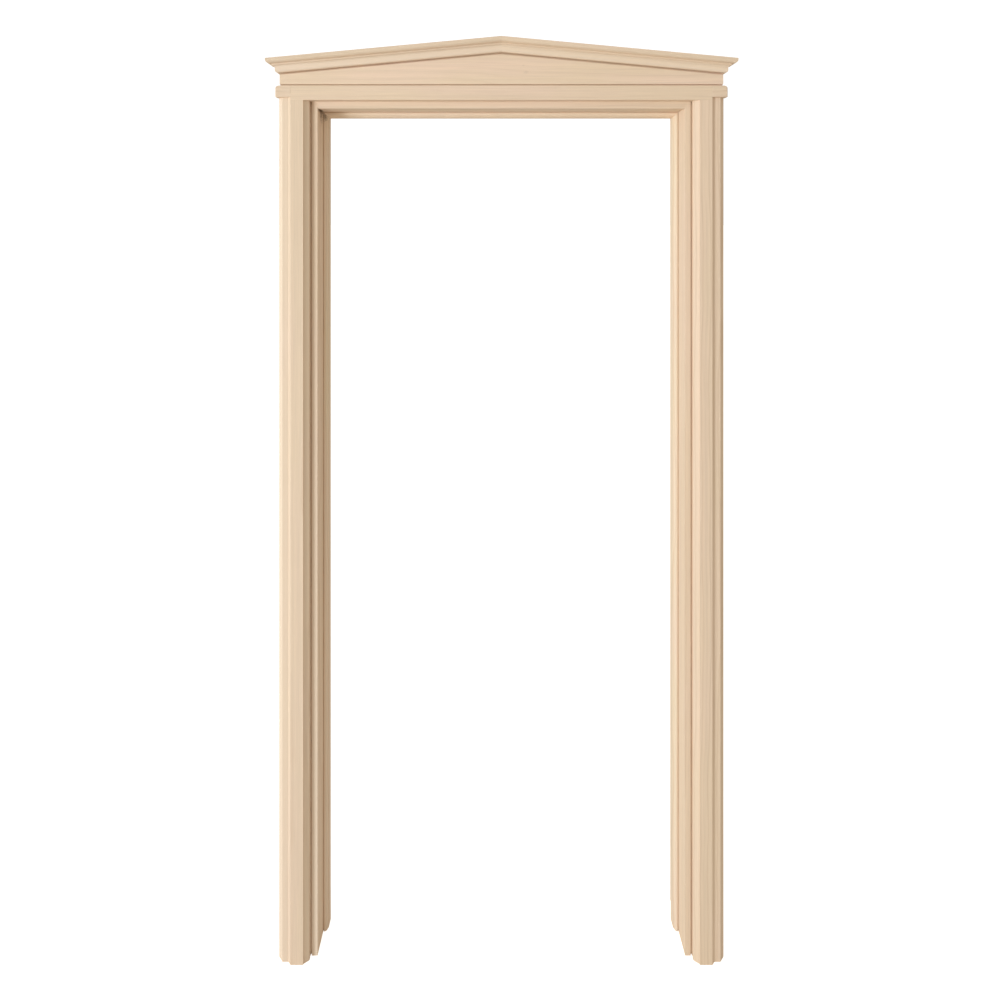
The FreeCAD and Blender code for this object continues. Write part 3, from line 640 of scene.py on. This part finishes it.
for side, hand in ((-1, "left"), (1, "right")):
    outline, arris_highlight = soften([(side * x, z, radius) for x, z, radius in (
        (EAR_IN, EAR_LOW, EASED), (EAR_END, EAR_LOW, EAR_LOW_ROUND),
        (EAR_END, BAND_TOP, EAR_TOP_ROUND), (EAR_IN, BAND_TOP, EASED))])
    ear = milled(f"band_ear_{hand}", outline, arris_highlight, (0, 0, 0), ACROSS, UPWARD, BACKWARD,
                 (CASING_FACE, 0, 0), (JAMB_FRONT, 0, 0), eased=END_EASE)
    plan, plan_highlight = soften([(side * x, y, radius) for x, y, radius in (
        (EAR_IN - PLAN_PAST, CASING_FACE - PLAN_PAST, FINE),
        (EAR_END, CASING_FACE, EAR_ROUND), (EAR_END, JAMB_FRONT + PLAN_PAST, FINE),
        (EAR_IN - PLAN_PAST, JAMB_FRONT + PLAN_PAST, FINE))])
    cut_away(ear, milled("plan", plan, plan_highlight, (0, 0, 0), ACROSS, BACKWARD, UPWARD,
                         (EAR_LOW - PAST, 0, 0), (BAND_TOP + PAST, 0, 0), eased=0),
             way="INTERSECT")
    wood = softwood(f"ear_wood_{hand}", LEVEL, (2.0, 0.09, 0.9 * side), shade=0.95)
    fit(ear, wood, "crosshead", f"ear_{hand}")

# Gable board

# The low gable of the head, one wide board with flame figure and two small pin knots. It
# stands on the band. A small rebate along its foot and a groove under the crown show as
# dark lines.

PITCH = math.radians(5.3)
GABLE_END = 0.516
GABLE_END_HIGH = 0.029
CROWN_LOW_END = BAND_TOP + GABLE_END_HIGH
CROWN_LOW_MID = CROWN_LOW_END + GABLE_END * math.tan(PITCH)
CROWN_HIGH = 0.0309
JOINT_HIGH = 0.003
JOINT_DEEP = 0.006
GROOVE_HIGH = 0.0042
GROOVE_DEEP = 0.007
CROWN_TOP_END = CROWN_LOW_END + CROWN_HIGH / math.cos(PITCH)
CROWN_TOP_MID = CROWN_LOW_MID + CROWN_HIGH / math.cos(PITCH)

outline, arris_highlight = soften([(-GABLE_END, BAND_TOP, EASED), (GABLE_END, BAND_TOP, EASED),
                          (GABLE_END, CROWN_TOP_END, EASED), (0, CROWN_TOP_MID, EASED),
                          (-GABLE_END, CROWN_TOP_END, EASED)], steps=7)
gable = milled("gable_panel", outline, arris_highlight, (0, 0, 0), ACROSS, UPWARD, BACKWARD,
               (CASING_FACE, 0, 0), (JAMB_FRONT, 0, 0), eased=END_EASE)
cut_away(gable, block((-EAR_END, CASING_FACE - PAST, BAND_TOP - PAST),
                      (EAR_END, CASING_FACE + JOINT_DEEP, BAND_TOP + JOINT_HIGH)))
groove = np.array([(-GROOVE_DEEP, -GROOVE_HIGH), (PAST, -GROOVE_HIGH), (PAST, 0),
                   (-GROOVE_DEEP, 0)])
for side in (-1, 1):
    square_to_rake = np.array([side * math.sin(PITCH), 0, math.cos(PITCH)])
    down_rake = np.array([side * math.cos(PITCH), 0, -math.sin(PITCH)])
    cut_away(gable, milled("groove", groove, np.zeros(4), (0, CASING_FACE, CROWN_LOW_MID),
                           -BACKWARD, square_to_rake, down_rake, (0, 0, -math.tan(PITCH)),
                           (EAR_END / math.cos(PITCH), 0, 0), eased=0))
knots = [((0.057, CASING_FACE, 2.076), (0.75, 1, 1.1), 0.0060, 0.13, 0.9),
         ((0.051, CASING_FACE, 2.092), (0.8, 1, 1.2), 0.0034, 0.10, 0.9)]
wood = softwood("gable_wood", LEVEL, (2.03, 0.12, -0.3), warm=(0.82, 0.605, 0.45),
                ring_strength=0.2, patch=1.0, marks=knots)
fit(gable, wood, "crosshead", "gable_board")

# Crown

# The cornice moulding up each rake and back along each end to the wall. From its foot it
# has a bead, a neck, a cove, a square step, a rounded soffit and a plain fascia.

CROWN_OUT = 0.025
NECK_OUT = 0.0083
BEAD_ROUND = 0.0052
COVE_ROUND = 0.0053
COVE_TOP = 0.0157
STEP_OUT = 0.014
STEP_TOP = 0.0194
SOFFIT_ROUND = 0.0075
MITRE_EASE = 0.0002
# The turn that lays the stem back to the wall.
TO_WALL = (math.pi / 2, 0, 0)

crown_outline, crown_highlight = soften([
    (0, 0, FINE), (NECK_OUT, 0, BEAD_ROUND), (NECK_OUT, COVE_TOP, COVE_ROUND),
    (STEP_OUT, COVE_TOP, FINE), (STEP_OUT, STEP_TOP, FINE),
    (CROWN_OUT, STEP_TOP, SOFFIT_ROUND), (CROWN_OUT, CROWN_HIGH, EASED),
    (0, CROWN_HIGH, FINE)])

# Painted light: the foot of each rake is painted paler, where light from below brightens it.
# Measured square to the rake, its foot line lies this far from the origin, and the paler paint
# fades out between two heights above that line.
FOOT_FROM_FLOOR = CROWN_LOW_MID * math.cos(PITCH)

# Painted shade: each rake's shade tones it down, the left one more, to darken the fascia.
for side, hand, pith, shade, pale_to, pale_from, strength in (
        (-1, "left", (2.05, 0.17, 0.0), 0.93, 0.021, 0.011, 0.55),
        (1, "right", (2.2, 0.15, 0.6), 0.97, 0.018, 0.007, 0.5)):
    square_to_rake = np.array([side * math.sin(PITCH), 0, math.cos(PITCH)])
    down_rake = np.array([side * math.cos(PITCH), 0, -math.sin(PITCH)])
    rake = milled(f"cornice_rake_{hand}", crown_outline, crown_highlight,
                  (0, CASING_FACE, CROWN_LOW_MID), -BACKWARD, square_to_rake, down_rake,
                  (0, 0, -math.tan(PITCH)),
                  (GABLE_END / math.cos(PITCH), 1 / math.cos(PITCH), -math.tan(PITCH)),
                  eased=MITRE_EASE)
    turn = (0, -(math.pi / 2 + side * PITCH), 0)
    painted_light_foot = ((-1, 0, 0), FOOT_FROM_FLOOR + pale_to, FOOT_FROM_FLOOR + pale_from, strength)
    wood = softwood(f"rake_wood_{hand}", turn, pith, shade=shade, ring_strength=0.25,
                    painted_light=painted_light_foot)
    fit(rake, wood, "crown", f"crown_rake_{hand}")

    # The level return has the rake's section made plumb, as a corner mitre needs it: its
    # height is divided by the cosine of the pitch and falls as it comes forward.
    out, high = crown_outline.T
    plumb = np.stack([side * (GABLE_END + out),
                      CROWN_LOW_END + high / math.cos(PITCH) - out * math.tan(PITCH)], 1)
    level_return = milled(f"cornice_return_{hand}", plumb, crown_highlight, (0, 0, 0), ACROSS,
                          UPWARD, BACKWARD, (CASING_FACE + GABLE_END, -side, 0),
                          (JAMB_FRONT, 0, 0), eased=MITRE_EASE)
    wood = softwood(f"return_wood_{hand}", TO_WALL, (0.3, 2.1, 0.4 * side))
    fit(level_return, wood, "crown", f"crown_return_{hand}")

# Fixings

# Zinc-coated steel nails and screws, and the wooden dowels that hold the gable board on
# the band. All are sunk in the wood, and only the screw heads show on top of the head
# jamb.

spangles_per_metre, scratches_per_metre = 900.0, 2600.0
steel = bpy.data.materials.new("zinc_steel")
steel.use_nodes = True
t, link = steel.node_tree, steel.node_tree.links.new
shader = t.nodes["Principled BSDF"]
shader.inputs["Metallic"].default_value = 1.0
place = node(t, "TexCoord", (-1000, 0))
spangle = node(t, "TexVoronoi", (-800, 200), {"Scale": spangles_per_metre, "Randomness": 1.0})
scratch = node(t, "TexNoise", (-800, -200), {"Scale": scratches_per_metre, "Detail": 3.0})
zinc = node(t, "Mix", (-400, 200), {"A": (0.46, 0.47, 0.47, 1), "B": (0.60, 0.60, 0.58, 1)},
            data_type="RGBA")
dull = node(t, "MapRange", (-400, -100), {"To Min": 0.30, "To Max": 0.52})
relief = node(t, "Bump", (-300, -350), {"Strength": 0.2, "Distance": 0.00005})
grey = node(t, "SeparateXYZ", (-600, 200))
link(place.outputs["Object"], spangle.inputs["Vector"])
link(place.outputs["Object"], scratch.inputs["Vector"])
link(spangle.outputs["Color"], grey.inputs[0])
link(grey.outputs["X"], zinc.inputs["Factor"])
link(scratch.outputs["Fac"], dull.inputs["Value"])
link(scratch.outputs["Fac"], relief.inputs["Height"])
link(zinc.outputs["Result"], shader.inputs["Base Color"])
link(dull.outputs["Result"], shader.inputs["Roughness"])
link(relief.outputs[0], shader.inputs["Normal"])
for name in ("casing_nails", "corner_screws"):
    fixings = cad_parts[name]
    fixings.data.materials.clear()
    fixings.data.materials.append(steel)
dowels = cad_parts["gable_dowels"]
dowels.data.materials.clear()
dowels.data.materials.append(softwood("dowel_wood", UPRIGHT, (0.1, 0.1, 0.0)))

# Floor and light

# A plain pale floor, a warm white room, and cool daylight from two windows to the left and
# in front, one near and one far.

FLOOR_WIDE = 400
WARM_WHITE = (1.0, 0.965, 0.862, 1)
DAYLIGHT = (0.88, 1.0, 1.12)
AIM = (0, 0, 1.2)

bpy.ops.mesh.primitive_plane_add(size=FLOOR_WIDE)
floor = bpy.context.object
floor.name = "floor"
pale = bpy.data.materials.new("pale_floor")
pale.use_nodes = True
t, link = pale.node_tree, pale.node_tree.links.new
shader = t.nodes["Principled BSDF"]
shader.inputs["Base Color"].default_value = (0.8, 0.8, 0.8, 1)
shader.inputs["Roughness"].default_value = 0.9
shader.inputs["Emission Color"].default_value = (1, 1, 1, 1)
eye = node(t, "LightPath", (-400, 0))
seen = node(t, "Math", (-200, 0), {1: 0.8}, operation="MULTIPLY")
link(eye.outputs["Is Camera Ray"], seen.inputs[0])
link(seen.outputs[0], shader.inputs["Emission Strength"])
floor.data.materials.append(pale)

world = bpy.data.worlds.new("white_room")
bpy.context.scene.world = world
world.use_nodes = True
t, link = world.node_tree, world.node_tree.links.new
t.nodes.clear()
eye = node(t, "LightPath", (-600, 0))
room = node(t, "Background", (-300, 100), {"Color": WARM_WHITE, "Strength": 0.63})
paper = node(t, "Background", (-300, -100), {"Color": (1, 1, 1, 1), "Strength": 1.1})
pick = node(t, "MixShader", (0, 0))
out = node(t, "OutputWorld", (200, 0))
link(eye.outputs["Is Camera Ray"], pick.inputs[0])
link(room.outputs[0], pick.inputs[1])
link(paper.outputs[0], pick.inputs[2])
link(pick.outputs[0], out.inputs["Surface"])


def soft_light(name, place, aim, size, power):
    """A round window of cool daylight at its place, turned to face the point it aims at:
    its tilt is the angle between straight down and the line to that point."""
    lamp = bpy.data.lights.new(name, "AREA")
    lamp.shape = "DISK"
    lamp.size = size
    lamp.energy = power
    lamp.color = DAYLIGHT
    window = bpy.data.objects.new(name, lamp)
    bpy.context.scene.collection.objects.link(window)
    window.location = place
    x, y, z = np.array(aim, float) - np.array(place, float)
    window.rotation_euler = (math.atan2(math.hypot(x, y), -z), 0, math.atan2(-x, y))


soft_light("near_window", (-4.2, -3.2, 1.2), AIM, size=2.5, power=67)
soft_light("far_window", (-8.2, -6.4, 1.6), AIM, size=4.0, power=444)

scene = bpy.context.scene
scene.view_settings.view_transform = "Standard"
scene.view_settings.look = "None"

# Camera

# At eye height, square to the wall and a little left of the middle, 1.40 m in front of
# the casings, shifted down so that the whole frame fits.

EYE_ASIDE = -0.0278
EYE_BACK = -1.455
EYE_HEIGHT = 1.7323

camera = bpy.data.objects.new("camera", bpy.data.cameras.new("camera"))
scene.collection.objects.link(camera)
camera.location = (EYE_ASIDE, EYE_BACK, EYE_HEIGHT)
camera.rotation_euler = (math.pi / 2, 0, 0)
camera.data.sensor_width = 36
camera.data.lens = 21.68
camera.data.shift_x = 0.0105
camera.data.shift_y = -0.28
scene.camera = camera
